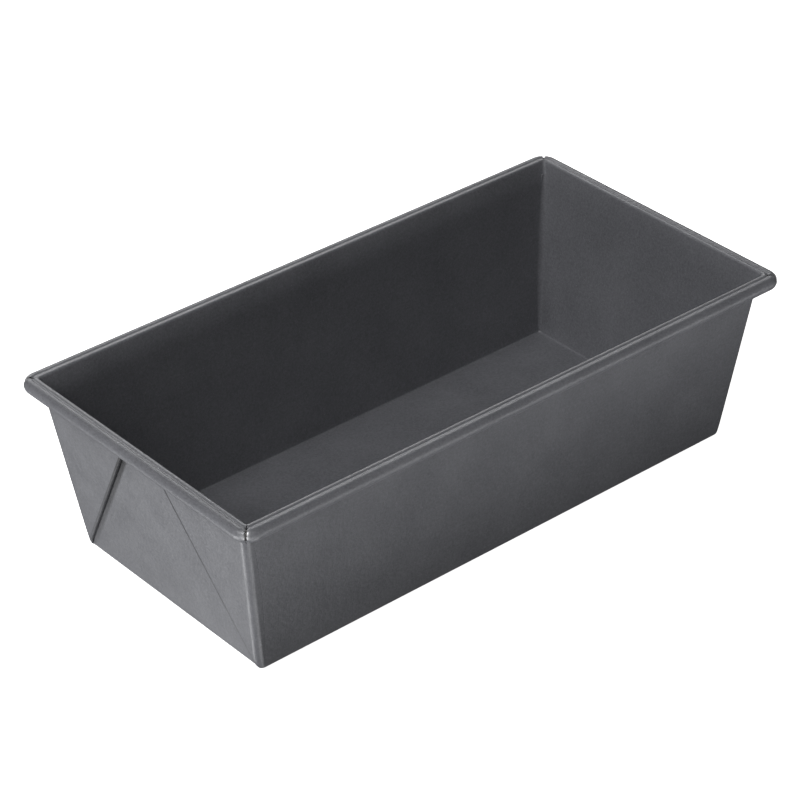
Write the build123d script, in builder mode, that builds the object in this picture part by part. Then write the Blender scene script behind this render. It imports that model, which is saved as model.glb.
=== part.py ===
from build123d import *
import math
import os

# Folded loaf pan. One blank of coated sheet steel makes the floor, the four leaning walls, a double
# pleat at each corner that lies flat on the outside of the end wall, and a hem rolled over a wire.
# X runs along the pan, Y across it, Z up. The origin is the middle of the underside. Millimetres.

# ---- overall sizes ----
TOP_LENGTH = 257.0          # opening at the rim, end wall to end wall
TOP_WIDTH = 127.2           # opening at the rim, side wall to side wall
HEIGHT = 76.0               # underside of the floor to the top of the rim
FLOOR_LENGTH = 236.6        # outside of the end walls, at the floor
FLOOR_WIDTH = 107.6         # outside of the side walls, at the floor

# ---- stock and fits ----
SHEET = 0.6                 # sheet thickness, measured level through a leaning wall
WIRE_DIAMETER = 4.0         # rim wire
WIRE_CLEARANCE = 0.1        # between the wire and the sheet rolled over it
FOLD_GAP = 0.1              # between two layers of sheet pressed together
BUTT_GAP = 0.2              # between the two ends of the rim wire

# ---- bends ----
FLOOR_BEND_INSIDE = 0.8     # inside radius where the floor turns up into a wall
CREASE_EASE = 0.3           # the upright crease's inside radius over that of the floor bend it runs into
RIM_BEND_INSIDE = 0.9       # underside radius where a wall turns out into the rim
WRAP_BEND_INSIDE = 2.0      # inside radius where a side wall wraps round the corner
RIM_CORNER_INSIDE = 1.7     # inner edge of the rolled hem, its radius at a corner of the rim
PLEAT_EASE = 3.3            # degrees that the rounded bottom corner adds to a pleat's angle

# ---- rim ----
SIDE_REACH = 3.8            # side wall's inner face to the wire's centre
END_REACH = 3.9             # end wall's inner face to the wire's centre, more because of the pleats
SIDE_CURL_END = -150.0      # angle round the wire where the side hem stops, 0 is straight out
SKIRT_DROP = 8.5            # top of the rim to the bottom edge of the end hem
SKIRT_CLEARANCE = 0.2       # end hem's bottom edge to the face of the pleats
MITRE_SLIT = 0.6            # gap between two hems where they meet at a corner
PLEAT_HEADROOM = 0.5        # top edge of a pleat to the underside of the wire

# ---- sizes that follow ----
WIRE_RADIUS = WIRE_DIAMETER / 2
ROLL_INSIDE = WIRE_RADIUS + WIRE_CLEARANCE
ROLL_OUTSIDE = ROLL_INSIDE + SHEET
WIRE_LEVEL = HEIGHT - ROLL_OUTSIDE
FLOOR_BEND = SHEET + FLOOR_BEND_INSIDE
CREASE = FLOOR_BEND_INSIDE + CREASE_EASE
RIM_BEND = SHEET + RIM_BEND_INSIDE
CORNER_BEND = SHEET + WRAP_BEND_INSIDE
RIM_CORNER = ROLL_OUTSIDE + RIM_CORNER_INSIDE  # of the wire's centre line
WIRE_X = TOP_LENGTH / 2 + END_REACH
WIRE_Y = TOP_WIDTH / 2 + SIDE_REACH
PLEAT_TOP = WIRE_LEVEL - WIRE_RADIUS - PLEAT_HEADROOM
PLEAT_BASE = FLOOR_BEND
LAYER = SHEET + FOLD_GAP
PLEAT_DEPTH = 2 * LAYER
SLIT_LENGTH = 2 * (END_REACH + ROLL_OUTSIDE)
CORNER_SAGITTA = RIM_CORNER * (1 - math.sqrt(0.5))  # the wire's corner is this far inside the square one
WRAP_OVERLAP = 2 * CORNER_BEND  # length of side wall that the pleat shares with the pan's own wall
NOSE_SHARE = 0.9            # radius of a fold's nose, as a share of the sheet it doubles

END_LEAN = (TOP_LENGTH / 2 + SHEET - FLOOR_LENGTH / 2) / WIRE_LEVEL
SIDE_LEAN = (TOP_WIDTH / 2 + SHEET - FLOOR_WIDTH / 2) / WIRE_LEVEL

# The sheet round a bottom corner is a full turn: the floor's square corner, the two walls' corners and
# the pleat's two equal layers. That gives the pleat's angle from the upright corner edge, less its ease.
END_CORNER_ANGLE = 90 + math.degrees(math.atan(SIDE_LEAN))
SIDE_CORNER_ANGLE = 90 + math.degrees(math.atan(END_LEAN))
PLEAT_ANGLE = (270 - END_CORNER_ANGLE - SIDE_CORNER_ANGLE) / 2 + PLEAT_EASE
FOLD_RUN = math.tan(math.radians(PLEAT_ANGLE) - math.atan(SIDE_LEAN))


def end_face(level):
    """Distance from the middle of the pan to the outside of an end wall at a level."""
    return FLOOR_LENGTH / 2 + END_LEAN * level


def side_face(level):
    """Distance from the middle of the pan to the outside of a side wall at a level."""
    return FLOOR_WIDTH / 2 + SIDE_LEAN * level


def fold_edge(level):
    """Distance from the middle of the pan to the slanting fold edge of a pleat at a level."""
    return FLOOR_WIDTH / 2 - FOLD_RUN * level


def leaning_block(bottom, top, end_growth, side_growth, upright_radius, foot_radius):
    """Solid block between two levels whose four sides follow the walls, moved out by the growths."""
    with BuildPart() as block:
        with BuildSketch(Plane.XZ):
            with BuildLine():
                Polyline(
                    (-end_face(bottom) - end_growth, bottom),
                    (end_face(bottom) + end_growth, bottom),
                    (end_face(top) + end_growth, top),
                    (-end_face(top) - end_growth, top),
                    close=True,
                )
            make_face()
        extrude(amount=TOP_WIDTH, both=True)
        with BuildSketch(Plane.YZ):
            with BuildLine():
                Polyline(
                    (-side_face(bottom) - side_growth, bottom),
                    (side_face(bottom) + side_growth, bottom),
                    (side_face(top) + side_growth, top),
                    (-side_face(top) - side_growth, top),
                    close=True,
                )
            make_face()
        extrude(amount=TOP_LENGTH, both=True, mode=Mode.INTERSECT)
        if upright_radius > 0:
            uprights = block.edges().filter_by(lambda e: abs(e.tangent_at(0.5).Z) > 0.5)
            fillet(uprights, radius=upright_radius)
        if foot_radius > 0:
            fillet(block.faces().sort_by(Axis.Z)[0].edges(), radius=foot_radius)
    return block.part


def roll_strip(reach, level, start_angle, end_angle):
    """Outline of the hem's sheet rolled round the wire between two angles, as lines of a sketch."""
    centre = (reach, level)
    outer = CenterArc(centre, ROLL_OUTSIDE, start_angle, end_angle - start_angle)
    inner = CenterArc(centre, ROLL_INSIDE, start_angle, end_angle - start_angle)
    Line(outer @ 0, inner @ 0)
    Line(outer @ 1, inner @ 1)


def skirt_tangent():
    """Angle round the wire where the end hem leaves the roll and runs straight down to its edge."""
    edge_out = skirt_foot()[0] - WIRE_X
    edge_down = skirt_foot()[1] - WIRE_LEVEL
    slant = math.degrees(math.atan2(edge_down, edge_out))
    return slant + math.degrees(math.acos(ROLL_OUTSIDE / math.hypot(edge_out, edge_down)))


def skirt_foot():
    """Outer bottom point of the end hem, across from the pleats that it covers, as (x, z)."""
    level = HEIGHT - SKIRT_DROP
    return end_face(level) + PLEAT_DEPTH + SKIRT_CLEARANCE + SHEET, level


def fold_nose(start, end):
    """Rounded nose of a doubled-back fold, along a line from start to end."""
    with BuildPart() as nose:
        with BuildSketch(Plane(origin=start, z_dir=Vector(*end) - Vector(*start))):
            Circle(SHEET * NOSE_SHARE)
        extrude(amount=math.dist(start, end))
    return nose.part


def pleat_corner():
    """The double pleat of one corner, with the stretch of side wall that wraps round to become it."""
    with BuildPart() as pleat:
        # Outer layer, its corner bend and the end of the side wall.
        add(leaning_block(PLEAT_BASE, PLEAT_TOP, PLEAT_DEPTH, 0, CORNER_BEND, 0))
        wrap_inside = (PLEAT_DEPTH - SHEET, -SHEET, CORNER_BEND - SHEET)
        add(leaning_block(PLEAT_BASE, PLEAT_TOP, *wrap_inside, 0), mode=Mode.SUBTRACT)
        # Inner layer, between the outer one and the end wall.
        add(inner_layer())
        # Only the sheet between the slanting fold and the corner belongs to the pleat.
        with BuildSketch(Plane.YZ.offset(FLOOR_LENGTH / 2 - WRAP_OVERLAP)):
            with BuildLine():
                Polyline(
                    (fold_edge(PLEAT_BASE), PLEAT_BASE),
                    (side_face(PLEAT_BASE) + SHEET, PLEAT_BASE),
                    (side_face(PLEAT_TOP) + SHEET, PLEAT_TOP),
                    (fold_edge(PLEAT_TOP), PLEAT_TOP),
                    close=True,
                )
            make_face()
        extrude(amount=TOP_LENGTH, mode=Mode.INTERSECT)
        # The fold between the two layers, and the crease between the inner layer and the end wall. Both
        # run past the pleat and are trimmed level with it.
        ends = (PLEAT_BASE - SHEET, PLEAT_TOP + SHEET)
        fold_depth = FOLD_GAP + SHEET + FOLD_GAP / 2
        crease_inset = SHEET + FOLD_GAP + SHEET * NOSE_SHARE
        add(fold_nose(*[(end_face(z) + fold_depth, fold_edge(z), z) for z in ends]))
        add(fold_nose(*[(end_face(z) + FOLD_GAP / 2, side_face(z) - crease_inset, z) for z in ends]))
        split(bisect_by=Plane.XY.offset(PLEAT_BASE), keep=Keep.TOP)
        split(bisect_by=Plane.XY.offset(PLEAT_TOP), keep=Keep.BOTTOM)
    return pleat.part


def inner_layer():
    """Skin of sheet just outside the end walls, a fold gap from them and from the wrap's side walls."""
    side_growth = -SHEET - FOLD_GAP
    with BuildPart() as layer:
        add(leaning_block(PLEAT_BASE, PLEAT_TOP, LAYER, side_growth, 0, 0))
        add(leaning_block(PLEAT_BASE, PLEAT_TOP, FOLD_GAP, side_growth, 0, 0), mode=Mode.SUBTRACT)
    return layer.part


# ================================ pan sheet ================================
ROLL_END = skirt_tangent()

with BuildPart() as pan_sheet:
    # Walls and floor: a leaning block with its outside bends, topped by the flat of the rim.
    add(leaning_block(0, HEIGHT, 0, 0, CREASE + SHEET, FLOOR_BEND))
    with BuildSketch(Plane.XY.offset(HEIGHT - SHEET)):
        RectangleRounded(2 * WIRE_X, 2 * WIRE_Y, RIM_CORNER)
    extrude(amount=SHEET)
    underside = pan_sheet.faces().filter_by(Axis.Z).sort_by(Axis.Z)[-2]
    fillet(underside.inner_wires()[0].edges(), radius=RIM_BEND - SHEET)

    # The cavity, carried past the rim so that it opens the top, then the bend over its top edge.
    add(leaning_block(SHEET, HEIGHT + SHEET, -SHEET, -SHEET, CREASE, FLOOR_BEND - SHEET), mode=Mode.SUBTRACT)
    mouth = pan_sheet.faces().filter_by(Axis.Z).sort_by(Axis.Z)[-1]
    fillet(mouth.inner_wires()[0].edges(), radius=RIM_BEND)

    # The hem over the wire, from the flat of the rim round to where the end hem leaves the wire.
    with BuildLine(Plane.XY.offset(WIRE_LEVEL)) as half_rim:
        FilletPolyline((0, -WIRE_Y), (WIRE_X, -WIRE_Y), (WIRE_X, WIRE_Y), (0, WIRE_Y), radius=RIM_CORNER)
    with BuildSketch(Plane.YZ) as hem_section:
        with BuildLine():
            roll_strip(-WIRE_Y, WIRE_LEVEL, 90, 180 - ROLL_END)
        make_face()
    sweep(sections=hem_section.sketch, path=half_rim.line)
    mirror(about=Plane.YZ)

    # The rest of the side hem curls on under the wire, back towards the wall.
    with BuildSketch(Plane.YZ):
        with BuildLine():
            roll_strip(-WIRE_Y, WIRE_LEVEL, 180 - ROLL_END, 180 - SIDE_CURL_END)
        make_face()
        mirror(about=Plane.YZ)
    extrude(amount=WIRE_X - RIM_CORNER, both=True)

    # The end hem runs straight down instead, over the tops of the pleats.
    with BuildSketch(Plane.XZ):
        with BuildLine():
            square_off = Vector(1, 0).rotate(Axis.Z, ROLL_END)
            leave = Vector(WIRE_X, WIRE_LEVEL) + square_off * ROLL_OUTSIDE
            foot = Vector(*skirt_foot())
            Polyline(leave, foot, foot - square_off * SHEET, leave - square_off * SHEET, close=True)
        make_face()
        mirror(about=Plane.YZ)
    extrude(amount=WIRE_Y - RIM_CORNER, both=True)

    # The mitre slits. Each cuts the flat of the rim from the corner out, then the roll outside the wire.
    for cut_level, start_x, start_y in (
        (HEIGHT - RIM_BEND, TOP_LENGTH / 2, TOP_WIDTH / 2),
        (WIRE_LEVEL - ROLL_OUTSIDE, WIRE_X - CORNER_SAGITTA, WIRE_Y - CORNER_SAGITTA),
    ):
        with BuildSketch(Plane.XY.offset(cut_level)):
            with Locations((start_x, start_y)):
                Rectangle(SLIT_LENGTH, MITRE_SLIT, rotation=45, align=(Align.MIN, Align.CENTER))
            mirror(about=Plane.YZ)
            mirror(about=Plane.XZ)
        extrude(until=Until.LAST, mode=Mode.SUBTRACT)

    # The four pleats.
    corner = pleat_corner()
    add(corner)
    add(mirror(corner, about=Plane.XZ, mode=Mode.PRIVATE))
    mirror(about=Plane.YZ)

pan_sheet.part.label = "pan_sheet"


# ================================ rim wire ================================
with BuildPart() as rim_wire:
    with BuildLine(Plane.XY.offset(WIRE_LEVEL)) as rim_path:
        FilletPolyline(
            (BUTT_GAP / 2, -WIRE_Y),
            (WIRE_X, -WIRE_Y),
            (WIRE_X, WIRE_Y),
            (-WIRE_X, WIRE_Y),
            (-WIRE_X, -WIRE_Y),
            (-BUTT_GAP / 2, -WIRE_Y),
            radius=RIM_CORNER,
        )
    with BuildSketch(Plane.YZ.offset(BUTT_GAP / 2)):
        with Locations((-WIRE_Y, WIRE_LEVEL)):
            Circle(WIRE_RADIUS)
    sweep(path=rim_path.line)

rim_wire.part.label = "rim_wire"


# ================================ files ================================
os.makedirs("parts", exist_ok=True)
export_step(pan_sheet.part, "parts/pan_sheet.step")
export_step(rim_wire.part, "parts/rim_wire.step")
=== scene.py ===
"""Folded loaf pan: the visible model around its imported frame.

One blank of coated sheet steel is folded up into a leaning tub. The spare sheet of each corner is pleated
flat against the end walls, and the edge of the sheet is rolled over a steel wire all the way round. Every
surface here is worked out in millimetres as whole numpy arrays and goes into its mesh in metres.
"""

from __future__ import annotations

import logging
import math
from dataclasses import dataclass
from enum import Enum

import bpy
import numpy as np
from mathutils import Matrix, Vector

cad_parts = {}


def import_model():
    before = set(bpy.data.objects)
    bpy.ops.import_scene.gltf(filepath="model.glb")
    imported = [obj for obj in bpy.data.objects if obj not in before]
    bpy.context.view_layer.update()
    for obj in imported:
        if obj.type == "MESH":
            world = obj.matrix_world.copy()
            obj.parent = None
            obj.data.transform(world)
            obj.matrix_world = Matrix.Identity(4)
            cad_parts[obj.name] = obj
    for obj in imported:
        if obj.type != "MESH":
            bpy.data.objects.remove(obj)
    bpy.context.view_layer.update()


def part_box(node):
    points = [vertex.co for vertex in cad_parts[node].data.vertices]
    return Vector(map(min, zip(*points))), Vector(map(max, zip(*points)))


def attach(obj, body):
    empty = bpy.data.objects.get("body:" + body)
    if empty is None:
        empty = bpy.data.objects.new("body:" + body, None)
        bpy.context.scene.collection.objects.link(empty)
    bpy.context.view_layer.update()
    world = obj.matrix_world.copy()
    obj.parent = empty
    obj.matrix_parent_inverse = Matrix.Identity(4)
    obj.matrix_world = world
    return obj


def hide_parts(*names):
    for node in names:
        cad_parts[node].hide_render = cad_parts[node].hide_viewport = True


MM = 0.001
# Cell of the lattice on which points are welded, and what the lattice is shifted by, in millimetres.
WELD_STEP = 0.002
WELD_SHIFT = 0.000271
# Least angles, in degrees, of an edge that is rounded as a cut edge and of one that stays sharp in shading.
CUT_EDGE_ANGLE = 55.0
SHARP_EDGE_ANGLE = 50.0
LOG = logging.getLogger("loaf_pan")


# ---------------------------------------------------------------- surfaces


@dataclass(frozen=True)
class Rows:
    """Rounded rectangles that a surface passes through, one for each row of its grid.

    Attributes:
        length: Half the length of each rectangle.
        width: Half the width of each rectangle.
        corner: Radius of its corners.
        end_level: Height of its two short sides.
        side_level: Height of its two long sides.
    """

    length: np.ndarray
    width: np.ndarray
    corner: np.ndarray
    end_level: np.ndarray
    side_level: np.ndarray

    @staticmethod
    def join(*runs: Rows) -> Rows:
        """Puts runs of rows one after the other.

        Args:
            runs: The runs, in order along the sheet.

        Returns:
            All the rows as one run.
        """
        names = ("length", "width", "corner", "end_level", "side_level")
        return Rows(*(np.concatenate([getattr(run, name) for run in runs]) for name in names))


@dataclass(frozen=True)
class Columns:
    """Places round a rounded rectangle, one for each column of a grid.

    Attributes:
        along: Share of the straight half length, from -1 to 1.
        across: Share of the straight half width, from -1 to 1.
        turn: Direction of the outward normal in plan, in radians, for all rows or row by row.
    """

    along: np.ndarray
    across: np.ndarray
    turn: np.ndarray


def carried_surface(rows: Rows, columns: Columns) -> np.ndarray:
    """Grid of points of a profile carried round a rounded rectangle.

    In words: a point is the centre of its corner arc, which is the column's share of the rectangle less its
    corner radius, plus that radius along the column's normal. Its height goes from the side's to the end's as
    the square of the normal's sine gives way to the square of its cosine.

    Args:
        rows: The rectangle of each row.
        columns: The place of each column round it.

    Returns:
        Points, shaped (rows, columns, 3).
    """
    cosine, sine = np.cos(columns.turn), np.sin(columns.turn)
    length, width, corner = (v[:, None] for v in (rows.length, rows.width, rows.corner))
    x = columns.along * (length - corner) + corner * cosine
    y = columns.across * (width - corner) + corner * sine
    z = rows.end_level[:, None] * cosine**2 + rows.side_level[:, None] * sine**2
    return np.stack([x, y, z], axis=2)


def arc(centre: tuple[float, float], radius: float, start: float, end: float, count: int) -> np.ndarray:
    """Points of a circle's arc: the centre plus the radius times the cosine and sine of evenly spaced angles.

    Args:
        centre: Centre, as outward distance and height.
        radius: Radius of the arc.
        start: First angle in degrees, 0 pointing outwards and 90 up.
        end: Last angle in degrees.
        count: Number of points.

    Returns:
        Points, shaped (count, 2).
    """
    angles = np.radians(np.linspace(start, end, count))
    return np.array(centre) + radius * np.stack([np.cos(angles), np.sin(angles)], axis=1)


def grid_faces(rows: int, columns: int) -> np.ndarray:
    """Four-cornered faces of a grid, each joining a point to the next in its row and in its column.

    Args:
        rows: Number of rows of points.
        columns: Number of columns of points.

    Returns:
        Indices of points, shaped (faces, 4).
    """
    first = (np.arange(rows - 1)[:, None] * columns + np.arange(columns - 1)[None, :]).ravel()
    return np.stack([first, first + 1, first + columns + 1, first + columns], axis=1)


def weld(grids: list[np.ndarray]) -> tuple[np.ndarray, list[list[int]]]:
    """Joins grids into one skin wherever their points fall together.

    In words: points in the same cell of a fine lattice become one point, and a face that loses a corner that
    way becomes a triangle or goes. The lattice is shifted so that no wall or edge lies between two cells.

    Args:
        grids: Grids of points, each shaped (rows, columns, 3).

    Returns:
        The points, shaped (points, 3), and the faces as lists of indices.
    """
    points = np.concatenate([grid.reshape(-1, 3) for grid in grids])
    starts = np.cumsum([0] + [grid.shape[0] * grid.shape[1] for grid in grids[:-1]])
    faces = np.concatenate([grid_faces(*grid.shape[:2]) + start for grid, start in zip(grids, starts)])
    cells = np.round((points + WELD_SHIFT) / WELD_STEP).astype(np.int64)
    _, keep, welded = np.unique(cells, axis=0, return_index=True, return_inverse=True)
    faces = welded.reshape(-1)[faces]
    collapsed = faces == np.roll(faces, -1, axis=1)
    whole = faces[collapsed.sum(axis=1) == 0]
    opposite = (whole[:, 0] == whole[:, 2]) | (whole[:, 1] == whole[:, 3])
    pinched = faces[collapsed.sum(axis=1) == 1]
    lost = np.argmax(collapsed[collapsed.sum(axis=1) == 1], axis=1)
    order = (lost[:, None] + np.array([1, 2, 3])[None, :]) % 4
    triangles = np.take_along_axis(pinched, order, axis=1)
    return points[keep], whole[~opposite].tolist() + triangles.tolist()


# ---------------------------------------------------------------- sizes


@dataclass(frozen=True)
class PanSizes:
    """Sizes of the pan in millimetres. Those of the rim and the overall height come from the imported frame.

    Attributes:
        height: Underside to the top of the rim.
        wire_x: Middle of the pan to the wire's centre over an end wall.
        wire_y: Middle of the pan to the wire's centre over a side wall.
        wire_level: Height of the wire's centre.
        wire_radius: Radius of the wire.
        sheet: Thickness of the sheet.
        clearance: Between the wire and the sheet rolled over it.
        end_reach: End wall's inner face to the wire's centre.
        side_reach: Side wall's inner face to the wire's centre.
        floor_length: Outside of the end walls at the floor.
        floor_width: Outside of the side walls at the floor.
        floor_bend: Outside radius where the floor turns up.
        rim_bend: Radius at the middle of the sheet where a wall turns out into the rim.
        foot_crease: Radius at the middle of the sheet of an upright corner crease, at its foot and its top.
        crease_swell: What that radius gains halfway up.
        flare_height: Height over which the top of a wall flares out to the rim.
        groove: Depth of the shallow groove between the rim bend and the rolled hem.
        headroom: Top edge of a pleat to the underside of the wire.
        fold_top: Middle of the pan to a pleat's slanting fold, at the pleat's top.
        rim_corner: Radius of the wire's centre line at a corner.
        fold_gap: Between two layers of sheet pressed together.
    """

    height: float
    wire_x: float
    wire_y: float
    wire_level: float
    wire_radius: float
    sheet: float = 0.6
    clearance: float = 0.1
    end_reach: float = 4.5
    side_reach: float = 5.55
    floor_length: float = 236.6
    floor_width: float = 107.6
    floor_bend: float = 1.4
    rim_bend: float = 0.95
    foot_crease: float = 1.4
    crease_swell: float = 1.8
    flare_height: float = 9.0
    groove: float = 0.32
    headroom: float = 0.5
    fold_top: float = 9.7
    rim_corner: float = 4.4
    fold_gap: float = 0.1

    @classmethod
    def from_frame(cls) -> PanSizes:
        """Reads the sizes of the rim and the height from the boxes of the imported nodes.

        Returns:
            The pan's sizes.
        """
        low, high = (np.array(corner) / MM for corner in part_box("rim_wire"))
        radius = (high[2] - low[2]) / 2
        sheet_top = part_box("pan_sheet")[1].z / MM
        middle = (high[2] + low[2]) / 2
        return cls(sheet_top, high[0] - radius, high[1] - radius, middle, radius)

    @property
    def roll_radius(self) -> float:
        """Radius of the middle of the sheet rolled over the wire."""
        return self.wire_radius + self.clearance + self.sheet / 2

    @property
    def end_lean(self) -> float:
        """Outward run of an end wall for each millimetre of height."""
        inner_face = self.wire_x - self.end_reach
        return (inner_face + self.sheet - self.floor_length / 2) / self.wire_level

    @property
    def side_lean(self) -> float:
        """Outward run of a side wall for each millimetre of height."""
        inner_face = self.wire_y - self.side_reach
        return (inner_face + self.sheet - self.floor_width / 2) / self.wire_level

    def crease(self, level: np.ndarray) -> np.ndarray:
        """Radius of an upright corner crease at each height: the foot's, plus a half wave of swelling."""
        return self.foot_crease + self.crease_swell * np.sin(np.pi * np.clip(level / self.height, 0, 1))

    @property
    def pleat_top(self) -> float:
        """Height of the top edge of the pleats."""
        return self.wire_level - self.wire_radius - self.headroom

    @property
    def pleat_width(self) -> float:
        """Width of a pleat at its top, from the outside of the side wall to the slanting fold."""
        return self.floor_width / 2 + self.side_lean * self.pleat_top - self.fold_top

    @property
    def layer(self) -> float:
        """Step from the middle of one pressed layer of sheet to the next."""
        return self.sheet + self.fold_gap


# ---------------------------------------------------------------- finishes


class Nodes:
    """Short way to add the nodes of a finish and join them up."""

    def __init__(self, name: str) -> None:
        """Makes an empty finish with the plain shader and output."""
        self.material = bpy.data.materials.new(name)
        self.material.use_nodes = True
        self.tree = self.material.node_tree
        self.shader = self.tree.nodes["Principled BSDF"]
        self.place = self.tree.nodes.new("ShaderNodeTexCoord").outputs["Object"]

    def noise(self, size: float, detail: float = 2.0, rough: float = 0.5) -> bpy.types.NodeSocket:
        """Adds cloudy noise whose blobs are a given number of millimetres across.

        Args:
            size: Size of a blob in millimetres.
            detail: Number of finer octaves on top.
            rough: Strength of each finer octave.

        Returns:
            The noise's value, about 0.5 on average.
        """
        node = self.tree.nodes.new("ShaderNodeTexNoise")
        node.inputs["Scale"].default_value = 1 / (size * MM)
        node.inputs["Detail"].default_value = detail
        node.inputs["Roughness"].default_value = rough
        self.tree.links.new(self.place, node.inputs["Vector"])
        return node.outputs["Fac"]

    def remap(
        self, value: bpy.types.NodeSocket, low: float, high: float, start: float = 0.3, end: float = 0.7
    ) -> bpy.types.NodeSocket:
        """Adds a range change, clamped at both ends.

        Args:
            value: What goes in.
            low: Result at the start.
            high: Result at the end.
            start: Input that gives the low result.
            end: Input that gives the high result.

        Returns:
            The changed value.
        """
        node = self.tree.nodes.new("ShaderNodeMapRange")
        for name, number in (("From Min", start), ("From Max", end), ("To Min", low), ("To Max", high)):
            node.inputs[name].default_value = number
        self.tree.links.new(value, node.inputs["Value"])
        return node.outputs["Result"]

    def math(
        self, way: str, first: bpy.types.NodeSocket, second: bpy.types.NodeSocket
    ) -> bpy.types.NodeSocket:
        """Adds a sum, product or other plain operation on two values.

        Args:
            way: Blender's name for the operation.
            first: First value.
            second: Second value.

        Returns:
            The result.
        """
        node = self.tree.nodes.new("ShaderNodeMath")
        node.operation = way
        self.tree.links.new(first, node.inputs[0])
        self.tree.links.new(second, node.inputs[1])
        return node.outputs[0]

    def line(self, value: bpy.types.NodeSocket, slope: float, start: float) -> bpy.types.NodeSocket:
        """Adds a straight line: the slope times the value, plus the start.

        Args:
            value: What goes in.
            slope: Rise for each unit of it.
            start: Result at zero.

        Returns:
            The result.
        """
        node = self.tree.nodes.new("ShaderNodeMath")
        node.operation = "MULTIPLY_ADD"
        node.inputs[1].default_value = slope
        node.inputs[2].default_value = start
        self.tree.links.new(value, node.inputs[0])
        return node.outputs[0]

    def size(self, value: bpy.types.NodeSocket) -> bpy.types.NodeSocket:
        """Adds the value without its sign."""
        node = self.tree.nodes.new("ShaderNodeMath")
        node.operation = "ABSOLUTE"
        self.tree.links.new(value, node.inputs[0])
        return node.outputs[0]

    def blend(self, share: bpy.types.NodeSocket, first: object, second: object) -> bpy.types.NodeSocket:
        """Adds a blend of two colours, each a socket or a plain colour.

        Args:
            share: Share of the second colour.
            first: Colour at share 0.
            second: Colour at share 1.

        Returns:
            The blended colour.
        """
        # Sockets 6 and 7 of this node are the two colours, and its output 2 is the blended one.
        node = self.tree.nodes.new("ShaderNodeMix")
        node.data_type = "RGBA"
        self.tree.links.new(share, node.inputs[0])
        for socket, colour in ((node.inputs[6], first), (node.inputs[7], second)):
            if isinstance(colour, tuple):
                socket.default_value = (*colour, 1)
            else:
                self.tree.links.new(colour, socket)
        return node.outputs[2]

    def attribute(self, name: str) -> bpy.types.NodeSocket:
        """Adds a reader of a mesh attribute."""
        node = self.tree.nodes.new("ShaderNodeAttribute")
        node.attribute_name = name
        return node.outputs["Fac"]

    def bump(self, height: bpy.types.NodeSocket, depth: float, strength: float) -> None:
        """Adds a bump on the shader.

        Args:
            height: Height of the bump, 0 to 1.
            depth: Its depth in millimetres.
            strength: How much of it shows, 0 to 1.
        """
        node = self.tree.nodes.new("ShaderNodeBump")
        node.inputs["Distance"].default_value = depth * MM
        node.inputs["Strength"].default_value = strength
        self.tree.links.new(height, node.inputs["Height"])
        self.tree.links.new(node.outputs["Normal"], self.shader.inputs["Normal"])

    def dress(self, name: str, value: bpy.types.NodeSocket) -> None:
        """Joins a value to one of the shader's inputs."""
        self.tree.links.new(value, self.shader.inputs[name])


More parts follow.
